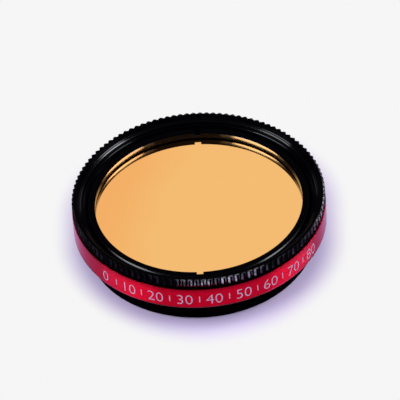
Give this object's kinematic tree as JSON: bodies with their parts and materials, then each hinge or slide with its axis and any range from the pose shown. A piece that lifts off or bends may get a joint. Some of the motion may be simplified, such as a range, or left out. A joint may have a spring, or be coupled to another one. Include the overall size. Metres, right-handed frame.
{
  "type": "optical bandpass filter",
  "caption": "Round coated glass filter in a screw-in metal cell with a knurled rim, a coloured band, a retaining ring and a short male thread.",
  "frame": {"origin": "centre of the foot's end face, on the optical axis", "axes": "+Z along the optical axis, from the threaded foot to the open face of the rim; the two spanner slots of the retaining ring lie on the Y axis; the picture looks along +Y from above"},
  "size_m": [0.0318, 0.0316, 0.0079],
  "materials": {
    "black_anodised": "satin black anodised, turned and knurled",
    "red_anodised": "bright red anodised over a fine turned surface",
    "engraved_marks": "fine bright engraving cut through the coloured band",
    "ring_black": "black anodised, turned",
    "coated_glass": "polished, amber mirror-like interference coating"
  },
  "bodies": {
    "root": {"cell": "black_anodised", "filter_glass": "coated_glass", "retaining_ring": "ring_black"}
  },
  "joints": []
}
